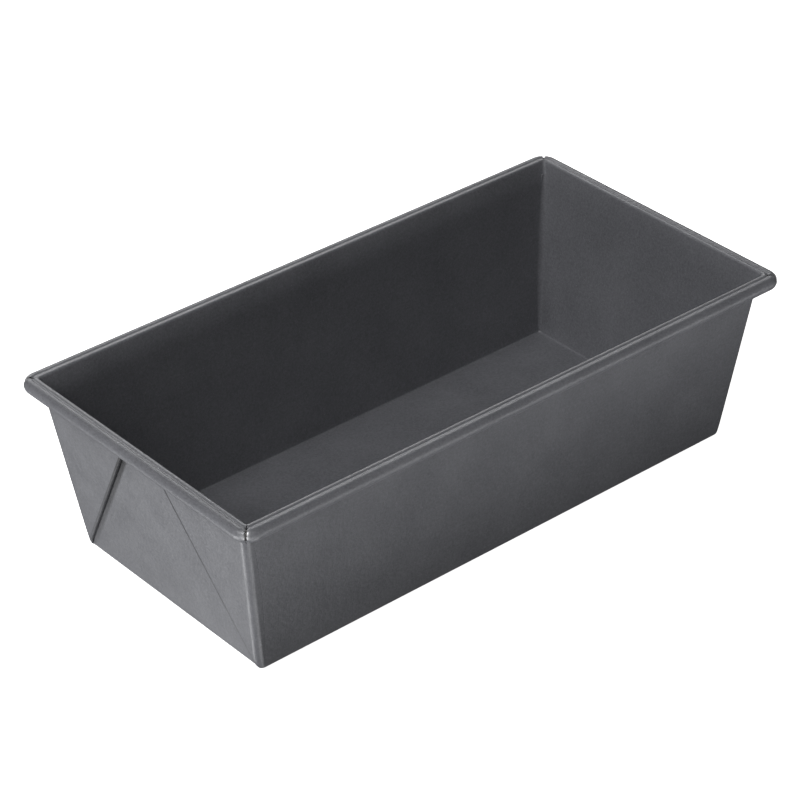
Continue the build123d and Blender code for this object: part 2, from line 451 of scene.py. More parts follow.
@dataclass(frozen=True)
class CoatedSheetFinish:
    """Dark satin release coating with a fine metallic grain, rubbed bright with painted highlights where
    folded edges stand proud, and painted fold shadows.

    Attributes:
        name: Name of the material.
        deep: Darkest colour of the coating.
        pale: Palest colour of the coating.
        grain: Colour of its metallic specks.
        rubbed_metal_and_highlight: Colour of the metal where the coating is rubbed thin, which also stands
            for the painted highlights there.
        shadow: Colour of the painted shadow along the slanting folds, where a pleat shades the end wall.
        shadow_start: Where that painted shadow starts and is full, in millimetres beyond the fold.
        shadow_end: Where it begins to fade and is gone.
        shadow_foot: Its strength at the floor.
        shadow_head: Its strength at the top of the pleats.
        cloud_size: Size of the cloudy patches of tone, in millimetres.
        speckle_size: Size of the fine speckle.
        speck_size: Size of the sparse metallic specks.
        gloss_size: Size of the patches of gloss.
        peel_size: Size of the orange peel.
        smooth: Roughness of the glossiest patches.
        rough: Roughness of the dullest.
        bump_depth: Depth of the orange peel and grit.
    """

    name: str = "coated_sheet"
    deep: tuple[float, float, float] = (0.108, 0.110, 0.121)
    pale: tuple[float, float, float] = (0.190, 0.193, 0.208)
    grain: tuple[float, float, float] = (0.30, 0.305, 0.32)
    rubbed_metal_and_highlight: tuple[float, float, float] = (0.62, 0.62, 0.63)
    shadow: tuple[float, float, float] = (0.012, 0.012, 0.013)
    shadow_start: tuple[float, float] = (-1.0, -0.5)
    shadow_end: tuple[float, float] = (2.4, 3.6)
    shadow_foot: float = 0.25
    shadow_head: float = 0.9
    cloud_size: float = 24.0
    speckle_size: float = 0.95
    speck_size: float = 0.34
    gloss_size: float = 9.0
    peel_size: float = 1.7
    smooth: float = 0.37
    rough: float = 0.45
    bump_depth: float = 0.05

    def painted_fold_shadow(self, nodes: Nodes, sizes: PanSizes) -> bpy.types.NodeSocket:
        """Adds the painted shadow along each slanting fold: a dark line where the pleat shades the end wall.

        In words: full from just under the fold to a little way beyond it, where the distance beyond the fold
        is the fold's place at that height less the distance across; fainter low down; and only where the mesh
        is marked as walled, which is the outer face of the end walls and the pleats.

        Args:
            nodes: The finish being made.
            sizes: Sizes of the pan.

        Returns:
            Strength of the line, 0 to 1.
        """
        split = nodes.tree.nodes.new("ShaderNodeSeparateXYZ")
        nodes.tree.links.new(nodes.place, split.inputs[0])
        _, y, z = split.outputs
        fold_run = sizes.pleat_width / sizes.pleat_top - sizes.side_lean
        fold = nodes.line(z, -fold_run, sizes.floor_width / 2 * MM)
        beyond = nodes.math("SUBTRACT", fold, nodes.size(y))
        ends = nodes.remap(beyond, 1, 0, *(edge * MM for edge in self.shadow_end))
        starts = nodes.remap(beyond, 0, 1, *(edge * MM for edge in self.shadow_start))
        faint = nodes.remap(z, self.shadow_foot, self.shadow_head, 0, sizes.pleat_top * MM)
        line = nodes.math("MULTIPLY", nodes.math("MULTIPLY", starts, ends), faint)
        return nodes.math("MULTIPLY", line, nodes.attribute("walled"))

    def material(self, sizes: PanSizes) -> bpy.types.Material:
        """Makes the finish.

        In words: cloudy tone a few centimetres across, speckle under a millimetre and sparse metallic specks
        over it; roughness that drifts with its own cloud; a bump of orange peel under fine grit;
        rubbed-through metal, which also stands for painted highlights, by the amount painted on the mesh,
        broken up by the speckle; and a painted shadow along the slanting folds.

        Args:
            sizes: Sizes of the pan.

        Returns:
            The material.
        """
        nodes = Nodes(self.name)
        cloud = nodes.noise(self.cloud_size, 3)
        speckle = nodes.noise(self.speckle_size, 3, 0.7)
        tone = nodes.math("ADD", nodes.remap(cloud, 0.0, 0.3), nodes.remap(speckle, 0.0, 0.7))
        specks = nodes.remap(nodes.noise(self.speck_size, 1), 0.0, 1.0, 0.66, 0.80)
        # Rubbed-thin coating and painted highlight: bright metal along the rim's crest and beside the mitre
        # slits.
        wear_and_highlight = nodes.math("MULTIPLY", nodes.attribute("wear_and_highlight"), nodes.remap(speckle, 0.65, 1.0))
        coat = nodes.blend(specks, nodes.blend(tone, self.deep, self.pale), self.grain)
        # Painted shadow: a dark line on the end wall along each slanting fold, where the pleat shades it.
        shaded = nodes.blend(self.painted_fold_shadow(nodes, sizes), coat, self.shadow)
        nodes.dress("Base Color", nodes.blend(wear_and_highlight, shaded, self.rubbed_metal_and_highlight))
        nodes.dress("Metallic", nodes.math("MAXIMUM", nodes.remap(specks, 0.06, 0.6, 0, 1), wear_and_highlight))
        gloss = nodes.remap(nodes.noise(self.gloss_size, 4), self.smooth, self.rough)
        nodes.dress("Roughness", nodes.math("SUBTRACT", gloss, nodes.remap(wear_and_highlight, 0, 0.12, 0, 1)))
        peel = nodes.remap(nodes.noise(self.peel_size, 1), 0.0, 1.0)
        nodes.bump(nodes.math("ADD", peel, nodes.remap(speckle, 0.0, 0.6)), self.bump_depth, 0.7)
        return nodes.material


@dataclass(frozen=True)
class WireFinish:
    """Drawn steel of the rim wire, darkened by oil and heat.

    Attributes:
        name: Name of the material.
        dark: Colour of the heaviest scale.
        pale: Colour of the barest steel.
        blotch_size: Size of the blotches of scale, in millimetres.
        pit_size: Size of the pits.
    """

    name: str = "wire_steel"
    dark: tuple[float, float, float] = (0.06, 0.058, 0.058)
    pale: tuple[float, float, float] = (0.16, 0.155, 0.15)
    blotch_size: float = 3.5
    pit_size: float = 0.4

    def material(self) -> bpy.types.Material:
        """Makes the finish: blotches of scale in colour and gloss, over fine pits.

        Returns:
            The material.
        """
        nodes = Nodes(self.name)
        scale = nodes.noise(self.blotch_size, 4, 0.6)
        nodes.dress("Base Color", nodes.blend(nodes.remap(scale, 0, 1), self.dark, self.pale))
        nodes.dress("Metallic", nodes.remap(scale, 0.55, 0.85))
        nodes.dress("Roughness", nodes.remap(scale, 0.6, 0.42))
        nodes.bump(nodes.noise(self.pit_size, 2), 0.02, 0.5)
        return nodes.material


# ---------------------------------------------------------------- pieces


def sheet_piece(
    name: str, grids: list[np.ndarray], thickness: float, edge_round: float, finish: bpy.types.Material
) -> bpy.types.Object:
    """Makes a piece of sheet from the surface at the middle of its thickness.

    Args:
        name: Name of the piece.
        grids: Grids of the middle surface, in millimetres.
        thickness: Thickness of the sheet.
        edge_round: Width of the rounding along its cut edges.
        finish: Material of the piece.

    Returns:
        The piece, with its thickness applied and its cut edges rounded.
    """
    points, faces = weld(grids)
    mesh = bpy.data.meshes.new(name)
    mesh.from_pydata((points * MM).tolist(), [], faces)
    draft = bpy.data.objects.new(name + "_draft", mesh)
    bpy.context.scene.collection.objects.link(draft)
    wall = draft.modifiers.new("thickness", "SOLIDIFY")
    wall.thickness = thickness * MM
    wall.offset = 0
    wall.use_even_offset = False
    wall.use_quality_normals = True
    rounding = draft.modifiers.new("edges", "BEVEL")
    rounding.width = edge_round * MM
    rounding.segments = 2
    rounding.limit_method = "ANGLE"
    rounding.angle_limit = math.radians(CUT_EDGE_ANGLE)
    rounding.use_clamp_overlap = True
    solid = bpy.data.meshes.new_from_object(draft.evaluated_get(bpy.context.evaluated_depsgraph_get()))
    bpy.data.objects.remove(draft)
    bpy.data.meshes.remove(mesh)
    return finished(name, solid, finish)


def finished(name: str, mesh: bpy.types.Mesh, finish: bpy.types.Material) -> bpy.types.Object:
    """Shades a mesh smooth up to its real edges, dresses it and puts it in the scene.

    Args:
        name: Name of the piece.
        mesh: Its mesh, in metres, in place.
        finish: Its material.

    Returns:
        The piece.
    """
    mesh.name = name
    mesh.materials.clear()
    mesh.materials.append(finish)
    mesh.polygons.foreach_set("use_smooth", np.ones(len(mesh.polygons), bool))
    mesh.set_sharp_from_angle(angle=math.radians(SHARP_EDGE_ANGLE))
    piece = bpy.data.objects.new(name, mesh)
    bpy.context.scene.collection.objects.link(piece)
    return piece


def paint(mesh: bpy.types.Mesh, name: str, values: np.ndarray) -> None:
    """Stores one number for each point of a mesh."""
    layer = mesh.attributes.new(name, "FLOAT", "POINT")
    layer.data.foreach_set("value", values.astype(np.float32))


@dataclass(frozen=True)
class PanTub:
    """Floor, four walls, rim bend and the rolled hems: all of the blank but its pleats.

    Attributes:
        sizes: Sizes of the pan.
        side_curl_end: Direction from the wire's centre in which a side hem ends, in degrees.
        skirt_drop: Top of the rim to the lower edge of an end hem.
        skirt_clearance: Between an end hem and the pleats behind it.
        end_flare: How far the top of an end wall flares out.
        side_flare: How far the top of a side wall flares out.
        flare_share: Share of the flare's height, down from the rim's top, that the outer face counts.
        mitre_slit: Width of the slit between two hems at a corner.
        tuck: How far the cut ends of a rolled hem are drawn in.
        tuck_reach: Distance from the slit over which that dies away.
        tuck_delay: Rows between the start of the slit and the start of the tuck.
        slit_share: Most that half the slit takes of a corner's radius.
        least_corner: Smallest corner radius that the slit is measured against.
        cut_edge_round: Width of the rounding along the cut edges.
        crest_wear_and_highlight: Strength of the rubbed-thin coating and painted highlight along the crest of
            the rim bend.
        crest_reach: Distance from the crest over which it dies away.
        crest_band: Depths below the top of the rim where that rubbing and highlight start and are full.
        crest_clear: Distance from the crest that stands for no rubbing and no highlight at all.
        end_wear_and_highlight: Strength of the rubbed-thin coating and painted highlight on the cut ends of
            the rolled hems.
        end_reach: Distance from a cut end over which it dies away.
        end_band: Distances outside the crest where the rubbing and highlight of the cut ends start and are
            full.
        floor_crowding: Power that crowds the floor's rows towards its edge.
        floor_rows: Rows of points on the floor.
        bend_rows: Rows on each of a wall's two bends.
        wall_rows: Rows on the wall between them.
        roll_rows: Rows on a side hem, and twice those of an end hem's roll.
        flat_rows: Rows on the flat of the rim.
        skirt_rows: Rows on the straight of an end hem.
        corner_columns: Columns on half a corner.
        side_columns: Columns along the straight of a side wall.
        end_columns: Columns along the straight of an end wall.
    """

    sizes: PanSizes
    side_curl_end: float = -150.0
    skirt_drop: float = 8.5
    skirt_clearance: float = 0.2
    end_flare: float = 0.75
    side_flare: float = 1.6
    flare_share: float = 1.08
    mitre_slit: float = 1.0
    tuck: float = 0.25
    tuck_reach: float = 0.7
    tuck_delay: int = 2
    slit_share: float = 0.6
    least_corner: float = 0.01
    cut_edge_round: float = 0.18
    crest_wear_and_highlight: float = 0.12
    crest_reach: float = 0.45
    crest_band: tuple[float, float] = (1.2, 0.6)
    crest_clear: float = 9.0
    end_wear_and_highlight: float = 0.75
    end_reach: float = 0.8
    end_band: tuple[float, float] = (2.0, 3.5)
    floor_crowding: float = 0.7
    floor_rows: int = 12
    bend_rows: int = 9
    wall_rows: int = 44
    roll_rows: int = 34
    flat_rows: int = 14
    skirt_rows: int = 6
    corner_columns: int = 12
    side_columns: int = 70
    end_columns: int = 36

    def floor(self) -> Rows:
        """Rows of the floor: the foot of the walls, inset step by step to a line along the middle.

        Returns:
            The rows, from the middle of the floor outwards.
        """
        s = self.sizes
        length = s.floor_length / 2 - s.floor_bend * (1 - s.end_lean)
        width = s.floor_width / 2 - s.floor_bend * (1 - s.side_lean)
        corner = s.foot_crease
        inset = width * (1 - np.linspace(0, 1, self.floor_rows)[:-1] ** self.floor_crowding)
        level = np.full_like(inset, s.sheet / 2)
        return Rows(length - inset, width - inset, corner * (1 - inset / width), level, level)

    def wall_profile(self, foot: float, lean: float, flare: float) -> np.ndarray:
        """Middle of the sheet of one wall, from the floor up to the flat of the rim.

        In words: an arc up from the floor, a straight lean, a flare that grows as the square of the height
        above its start, and an arc from the flare's slope out to level.

        Args:
            foot: Outside of the wall at the floor.
            lean: Its outward run for each millimetre of height.
            flare: What the flare adds to that run at its top.

        Returns:
            Points as outward distance and height.
        """
        s = self.sizes
        slope = math.atan(lean)
        half = s.sheet / 2
        # Centre of the floor bend: its outside touches the floor's underside and the wall's outside.
        bend_centre = foot - s.floor_bend * math.tan((math.pi / 2 - slope) / 2)
        low = arc((bend_centre, s.floor_bend), s.floor_bend - half, -90, -math.degrees(slope), self.bend_rows)
        # Centre of the rim bend: the middle of the sheet touches the wall's middle and the rim's middle.
        top_slope = math.atan(lean + 2 * flare / s.flare_height)
        level = s.height - half - s.rim_bend * (1 - math.sin(top_slope))
        face = foot + lean * level - half / math.cos(slope) + flare
        centre = (face + s.rim_bend * math.cos(top_slope), s.height - half - s.rim_bend)
        high = arc(centre, s.rim_bend, 180 - math.degrees(top_slope), 90, self.bend_rows)
        share = np.linspace(0, 1, self.wall_rows)[1:-1, None]
        straight = low[-1] + share * (high[0] - [flare, 0] - low[-1])
        flared = flare * np.clip((straight[:, 1] - level) / s.flare_height + 1, 0, 1) ** 2
        straight[:, 0] += flared
        return np.concatenate([low, straight, high])

    def walls(self) -> Rows:
        """Rows of the floor bend, the walls and the rim bend.

        Returns:
            The rows, going up.
        """
        s = self.sizes
        end = self.wall_profile(s.floor_length / 2, s.end_lean, self.end_flare)
        side = self.wall_profile(s.floor_width / 2, s.side_lean, self.side_flare)
        return Rows(end[:, 0], side[:, 0], s.crease(end[:, 1]), end[:, 1], side[:, 1])

    def flat(self, last: Rows) -> Rows:
        """Rows of the rim's top, from the rim bend out to over the wire's centre.

        In words: the level dips by the groove's depth times the squared sine of the share of the way across.

        Args:
            last: Rows that end with the rim bend's top.

        Returns:
            The rows, going outwards.
        """
        s = self.sizes
        share = np.linspace(0, 1, self.flat_rows + 1)[1:]
        level = s.height - s.sheet / 2 - s.groove * np.sin(np.pi * share) ** 2
        start = [getattr(last, name)[-1] for name in ("length", "width", "corner")]
        goal = [s.wire_x, s.wire_y, s.rim_corner]
        return Rows(*(a + share * (b - a) for a, b in zip(start, goal)), level, level)

    def hem(self, profile: np.ndarray) -> Rows:
        """Rows of a hem.

        Args:
            profile: Points round the wire's centre, as outward distance and height.

        Returns:
            The rows, one for each point.
        """
        s = self.sizes
        out, level = profile[:, 0], profile[:, 1] + s.wire_level
        return Rows(s.wire_x + out, s.wire_y + out, s.rim_corner + out, level, level)

    def side_hem(self) -> Rows:
        """Rows of a side hem, which curls right round under the wire."""
        return self.hem(arc((0, 0), self.sizes.roll_radius, 90, self.side_curl_end, self.roll_rows)[1:])

    def end_hem(self) -> Rows:
        """Rows of an end hem, which leaves the wire and runs straight down over the tops of the pleats.

        In words: the roll is left where the line to the hem's foot touches it. That is turned from the foot's
        own direction by the angle whose cosine is the roll's radius over the foot's distance.

        Returns:
            The rows, from over the wire down to the foot of the hem.
        """
        s = self.sizes
        level = s.height - self.skirt_drop
        face = s.floor_length / 2 + s.end_lean * level
        out = face + 2 * s.layer + self.skirt_clearance + s.sheet / 2 - s.wire_x
        foot = np.array([out, level - s.wire_level])
        distance = float(np.hypot(*foot))
        leave = math.degrees(math.atan2(foot[1], foot[0]) + math.acos(s.roll_radius / distance))
        rolled = arc((0, 0), s.roll_radius, 90, leave, self.roll_rows // 2)[1:]
        share = np.linspace(0, 1, self.skirt_rows)[1:, None]
        return self.hem(np.concatenate([rolled, rolled[-1] + share * (foot - rolled[-1])]))

    def columns(self, count: int, facing: float, slit: np.ndarray, corner: np.ndarray) -> Columns:
        """Columns of one wall from the mitre of one corner to the mitre of the next.

        In words: the straight has even columns and each half corner has columns that crowd towards the mitre.
        Where the sheet is slit, a half corner turns through less than 45 degrees, so that its last column
        stays half the slit's width from the mitre: the sine of what is left is that width over the radius.

        Args:
            count: Number of columns along the straight of the wall.
            facing: Direction of the wall's outward normal in plan, in degrees.
            slit: Half the width of the slit at each row.
            corner: Corner radius of each row.

        Returns:
            The columns, their turns row by row.
        """
        share = np.sin(np.linspace(0, np.pi / 2, self.corner_columns))
        left = np.arcsin(np.minimum(slit / np.maximum(corner, self.least_corner), self.slit_share))
        bent = (np.pi / 4 - left)[:, None] * share[None, :]
        straight = np.zeros((len(slit), count - 2))
        turn = math.radians(facing) + np.concatenate([-bent[:, ::-1], straight, bent], axis=1)
        ones = np.ones(self.corner_columns)
        place = np.concatenate([-ones, np.linspace(-1, 1, count)[1:-1], ones])
        if facing == 0:
            return Columns(np.ones_like(place), place, turn)
        return Columns(place, -np.ones_like(place), turn)

    def panel(self, below: Rows, hem: Rows, count: int, facing: float) -> np.ndarray:
        """Grid of one wall with its hem, slit at the mitres and tucked in round the wire beside each slit.

        In words: the tuck draws a point of the rolled hem towards the wire's centre line. It is deepest at
        the slit and dies away over its reach as a bell curve, so the cut end of the roll is rounded over.

        Args:
            below: Rows up to the start of the hem.
            hem: Rows of the hem.
            count: Number of columns along the straight of the wall.
            facing: Direction of the wall's outward normal in plan, in degrees.

        Returns:
            Points, shaped (rows, columns, 3).
        """
        s = self.sizes
        rows = Rows.join(below, hem)
        opened = len(below.length) - self.flat_rows - self.bend_rows // 2
        step = np.clip((np.arange(len(rows.length)) - opened) / self.flat_rows, 0, 1)
        columns = self.columns(count, facing, step * self.mitre_slit / 2, rows.corner)
        grid = carried_surface(rows, columns)
        wire = (s.wire_x, s.wire_y, s.rim_corner, s.wire_level, s.wire_level)
        axis = Rows(*(np.full_like(rows.length, size) for size in wire))
        inward = carried_surface(axis, columns) - grid
        inward /= np.maximum(np.linalg.norm(inward, axis=2, keepdims=True), 1e-6)
        turned = np.abs(columns.turn - math.radians(facing))
        left = np.abs(math.pi / 4 - turned) * rows.corner[:, None]
        bell = np.exp(-((left / self.tuck_reach) ** 2)) * (turned > 0)
        started = np.arange(len(rows.length)) - opened - self.tuck_delay
        rolled = np.clip(started / self.flat_rows, 0, 1)[:, None]
        return grid + inward * (self.tuck * bell * rolled)[:, :, None]

    def build(self, finish: bpy.types.Material) -> bpy.types.Object:
        """Makes the tub from two side panels and two end panels, welded along the corner creases.

        Args:
            finish: Material of the coated sheet.

        Returns:
            The tub, with its rubbed-thin coating and painted highlights stored on its points.
        """
        walls = self.walls()
        below = Rows.join(self.floor(), walls, self.flat(walls))
        side = self.panel(below, self.side_hem(), self.side_columns, -90)
        end = self.panel(below, self.end_hem(), self.end_columns, 0)
        opposite = np.array([-1, -1, 1])
        grids = [side, end, side * opposite, end * opposite]
        tub = sheet_piece("pan_tub", grids, self.sizes.sheet, self.cut_edge_round, finish)
        points = np.empty(len(tub.data.vertices) * 3)
        tub.data.vertices.foreach_get("co", points)
        points = np.abs(points.reshape(-1, 3).T) / MM
        # The painted fold shadow falls only on the points marked here.
        paint(tub.data, "walled", self.outer_face(points))
        # Rubbed-thin coating and painted highlight along the crest and beside the mitre slits.
        paint(tub.data, "wear_and_highlight", self.wear_and_highlight_amount(points, float(walls.length[-1]), float(walls.width[-1])))
        return tub

    def outer_face(self, points: np.ndarray) -> np.ndarray:
        """Marks the outer face of the end walls behind the pleats, where the painted fold shadow may fall.

        In words: it is what lies within a sheet's thickness outside the wall's middle, flare included.

        Args:
            points: Distances of the tub's points from its middle and their heights, shaped (3, points).

        Returns:
            Whether each point is on that face.
        """
        s = self.sizes
        x, _, z = points
        rise = np.clip((z - s.height) / s.flare_height + self.flare_share, 0, 1)
        middle = s.floor_length / 2 + s.end_lean * z - s.sheet / 2 + self.end_flare * rise**2
        return (x > middle) & (x < middle + s.sheet) & (z > s.floor_bend) & (z < s.pleat_top)

    def wear_and_highlight_amount(self, points: np.ndarray, crest_x: float, crest_y: float) -> np.ndarray:
        """Works out where the coating is rubbed thin and bright, which also stands for painted highlights
        there.

        In words: a bell curve across the crest of the rim bend, and one either side of each mitre slit where
        the cut ends of the rolled hem stand proud.

        Args:
            points: Distances of the tub's points from its middle and their heights, shaped (3, points).
            crest_x: Middle of the pan to the crest over an end wall.
            crest_y: Middle of the pan to the crest over a side wall.

        Returns:
            Amount of rubbing and painted highlight of each point, 0 to 1.
        """
        s = self.sizes
        x, y, z = points
        past_end, past_side = x > crest_x, y > crest_y
        over_end = np.abs(x - crest_x) + self.crest_clear * past_side
        over_side = np.abs(y - crest_y) + self.crest_clear * past_end
        crest = np.minimum(over_end, over_side)
        starts, full = self.crest_band
        on_top = np.clip((z - s.height + starts) / (starts - full), 0, 1)
        line = self.crest_wear_and_highlight * np.exp(-((crest / self.crest_reach) ** 2)) * on_top
        mitre = np.abs((x - s.wire_x) - (y - s.wire_y)) / math.sqrt(2)
        starts, full = self.end_band
        rolled = np.clip((np.hypot(x - crest_x, y - crest_y) - starts) / (full - starts), 0, 1)
        rolled *= past_end & past_side & (z > s.wire_level - s.sheet / 2)
        ends = self.end_wear_and_highlight * np.exp(-(((mitre - self.mitre_slit / 2) / self.end_reach) ** 2)) * rolled
        return np.clip(np.maximum(line, ends), 0, 1)


class Corner(Enum):
    """The four corners of the pan, each with its side of the pan along X and across Y."""

    NEAR_LEFT = (-1, -1)
    NEAR_RIGHT = (1, -1)
    FAR_RIGHT = (1, 1)
    FAR_LEFT = (-1, 1)


@dataclass(frozen=True)
class WrapPath:
    """Path of a pleat in plan at each height: a straight lead, a quarter turn, then along the end wall.

    Attributes:
        lead: Length of the lead, shaped (rows, 1) like the rest.
        bend: Radius of the turn.
        end: Outward distance of the path along the end wall.
        side: Outward distance of the path along the side wall.
    """

    lead: np.ndarray
    bend: np.ndarray
    end: np.ndarray
    side: np.ndarray

    def at(self, way: np.ndarray, inset: np.ndarray) -> tuple[np.ndarray, ...]:
        """Points and normals at distances along the path.

        In words: the angle turned is the way past the lead over the radius, held between none and a quarter
        turn, and the point is that far round the turn's circle, plus whatever is straight before or after.

        Args:
            way: Distances along the path.
            inset: How far the points are moved in against the normal.

        Returns:
            The points' X and Y and the normals' X and Y.
        """
        angle = np.clip((way - self.lead) / self.bend, 0, math.pi / 2)
        before = np.minimum(way - self.lead, 0)
        after = np.maximum(way - self.lead - self.bend * math.pi / 2, 0)
        x = self.end - self.bend + (self.bend - inset) * np.sin(angle) + before
        y = self.side - self.bend + (self.bend - inset) * np.cos(angle) - after
        return x, y, np.sin(angle), np.cos(angle)


@dataclass(frozen=True)
class CornerPleat:
    """Spare sheet of one corner, folded double over the end wall.

    It wraps round from the side wall, lies flat on the end wall, turns back at the slanting fold and runs on
    underneath to the corner.

    Attributes:
        sizes: Sizes of the pan.
        corner: Corner that the pleat is at.
        wrap_bend: Radius with which it wraps round the corner, away from the foot.
        foot_reach: Width of pleat at which it has about two thirds of its full stand-off.
        foot_level: Height at which it starts.
        level_crowding: Power that crowds its rows towards the foot.
        under_turn: How far round the wrap bend its inner layer reaches, in radians.
        level_rows: Rows of points up the pleat.
        wrap_columns: Columns round the corner.
        face_columns: Columns along the end wall.
        nose_columns: Columns round the slanting fold.
        under_columns: Columns of the inner layer.
        cut_edge_round: Width of the rounding along its cut edges.
    """

    sizes: PanSizes
    corner: Corner
    wrap_bend: float = 2.6
    foot_reach: float = 1.2
    foot_level: float = 0.75
    level_crowding: float = 1.35
    under_turn: float = 1.2
    level_rows: int = 48
    wrap_columns: int = 26
    face_columns: int = 26
    nose_columns: int = 14
    under_columns: int = 22
    cut_edge_round: float = 0.12

    def levels(self) -> np.ndarray:
        """Heights of the rows, crowded towards the foot."""
        share = np.linspace(0, 1, self.level_rows) ** self.level_crowding
        return self.foot_level + (self.sizes.pleat_top - self.foot_level) * share

    def wall_faces(self, level: np.ndarray) -> tuple[np.ndarray, np.ndarray]:
        """Middle of the sheet of the end wall and the side wall at each height, floor bend included.

        Args:
            level: Heights.

        Returns:
            Outward distances of the end wall and of the side wall.
        """
        s = self.sizes
        faces = []
        for foot, lean in ((s.floor_length / 2, s.end_lean), (s.floor_width / 2, s.side_lean)):
            slope = math.atan(lean)
            middle = s.floor_bend - s.sheet / 2
            centre = foot - s.floor_bend * math.tan((math.pi / 2 - slope) / 2)
            drop = np.clip(s.floor_bend - level, 0, middle)
            bent = centre + np.sqrt(middle**2 - drop**2)
            straight = foot + lean * level - s.sheet / 2 / math.cos(slope)
            faces.append(np.where(level < s.floor_bend - middle * math.sin(slope), bent, straight))
        return faces[0], faces[1]

    def nose(self, outer: tuple[np.ndarray, ...], radius: np.ndarray) -> tuple[np.ndarray, np.ndarray]:
        """Half circle that turns the sheet back under at the slanting fold.

        In words: its centre is a radius in from the outer layer's last point, and it goes round from the
        normal, through the direction of the path, to the normal's opposite.

        Args:
            outer: Points and normals of the outer layer.
            radius: Radius at each height, shaped (rows, 1).

        Returns:
            The points' X and Y.
        """
        x, y, normal_x, normal_y = (v[:, -1:] for v in outer)
        turn = np.linspace(0, math.pi, self.nose_columns)[None, 1:]
        path_x, path_y = normal_y, -normal_x
        nose_x = x - normal_x * radius + radius * (normal_x * np.cos(turn) + path_x * np.sin(turn))
        nose_y = y - normal_y * radius + radius * (normal_y * np.cos(turn) + path_y * np.sin(turn))
        return nose_x, nose_y

    def grid(self) -> np.ndarray:
        """Middle surface of the pleat at the corner where X and Y are both positive.

        In words: at each height the path runs straight on from the side wall, round the wrap bend and along
        the end wall, for the pleat's width there. It turns back over half a circle, and returns at half the
        stand-off underneath. The stand-off grows from the foot as one less a falling exponential.

        Returns:
            Points, shaped (rows, columns, 3).
        """
        s = self.sizes
        level = self.levels()
        end, side = self.wall_faces(level)
        outside = s.floor_width / 2 + s.side_lean * level
        width = s.pleat_width * level / s.pleat_top
        grown = 1 - np.exp(-width / self.foot_reach)
        stand = 2 * s.layer * grown
        crease = s.crease(level)
        bend = crease + (self.wrap_bend - crease) * grown
        lead = stand + crease - bend
        turned = np.minimum(width / bend, 1)
        run = np.maximum(width - (outside - side) - bend, 0)
        reach = (lead + bend * (math.pi / 4) * (1 + turned) + run)[:, None]
        path = WrapPath(*(v[:, None] for v in (lead, bend, end + stand, side)))
        wrap = np.minimum(path.lead + path.bend * math.pi / 2, reach)
        face = wrap + np.linspace(0, 1, self.face_columns)[1:] * (reach - wrap)
        outer_way = np.concatenate([np.linspace(0, 1, self.wrap_columns) * wrap, face], axis=1)
        outer = path.at(outer_way, np.zeros((1, 1)))
        nose_x, nose_y = self.nose(outer, (stand / 4)[:, None])
        home = np.minimum(path.lead + path.bend * self.under_turn, reach)
        under_way = reach + np.linspace(0, 1, self.under_columns)[1:] * (home - reach)
        under = path.at(under_way, stand[:, None] / 2)
        plan_x = np.concatenate([outer[0], nose_x, under[0]], axis=1)
        plan_y = np.concatenate([outer[1], nose_y, under[1]], axis=1)
        return np.stack([plan_x, plan_y, np.broadcast_to(level[:, None], plan_x.shape)], axis=2)

    def build(self, finish: bpy.types.Material) -> bpy.types.Object:
        """Makes the pleat at its own corner.

        Args:
            finish: Material of the coated sheet.

        Returns:
            The pleat.
        """
        along, across = self.corner.value
        grid = self.grid() * np.array([along, across, 1])
        name = "pleat_" + self.corner.name.lower()
        pleat = sheet_piece(name, [grid], self.sizes.sheet, self.cut_edge_round, finish)
        # The painted fold shadow may fall anywhere on the pleat.
        paint(pleat.data, "walled", np.ones(len(pleat.data.vertices)))
        return pleat


@dataclass(frozen=True)
class RimWire:
    """Steel wire inside the rolled hem, bent to a rounded rectangle, its ends butted in one long side.

    Attributes:
        sizes: Sizes of the pan.
        butt_gap: Gap between the wire's two ends.
        ring_points: Points round the wire.
        corner_points: Points along each of its corners.
    """

    sizes: PanSizes
    butt_gap: float = 0.2
    ring_points: int = 24
    corner_points: int = 13

    def build(self, finish: bpy.types.Material) -> bpy.types.Object:
        """Makes the wire: a circle carried round the rectangle, with flat ends.

        Args:
            finish: Material of the wire.

        Returns:
            The wire.
        """
        s = self.sizes
        corner = np.radians(np.linspace(0, 90, self.corner_points))
        corners_turned = [corner + math.radians(start) for start in (-90, 0, 90, 180)]
        turn = np.concatenate([[math.radians(-90)], *corners_turned, [math.radians(270)]])
        ones = np.ones(self.corner_points)
        along = np.concatenate([[0], ones, ones, -ones, -ones, [0]])
        across = np.concatenate([[-1], -ones, ones, ones, -ones, [-1]])
        ring = np.radians(np.linspace(0, 360, self.ring_points + 1))
        out, up = s.wire_radius * np.cos(ring), s.wire_radius * np.sin(ring)
        level = s.wire_level + up
        rows = Rows(s.wire_x + out, s.wire_y + out, s.rim_corner + out, level, level)
        grid = carried_surface(rows, Columns(along, across, turn))
        grid[:, 0, 0] += self.butt_gap / 2
        grid[:, -1, 0] -= self.butt_gap / 2
        rims = (grid[:, 0], grid[:, -1])
        caps = [np.stack([np.broadcast_to(rim.mean(axis=0), rim.shape), rim]) for rim in rims]
        points, faces = weld([grid, *caps])
        mesh = bpy.data.meshes.new("rim_wire_drawn")
        mesh.from_pydata((points * MM).tolist(), [], faces)
        return finished("rim_wire_drawn", mesh, finish)


# ---------------------------------------------------------------- studio


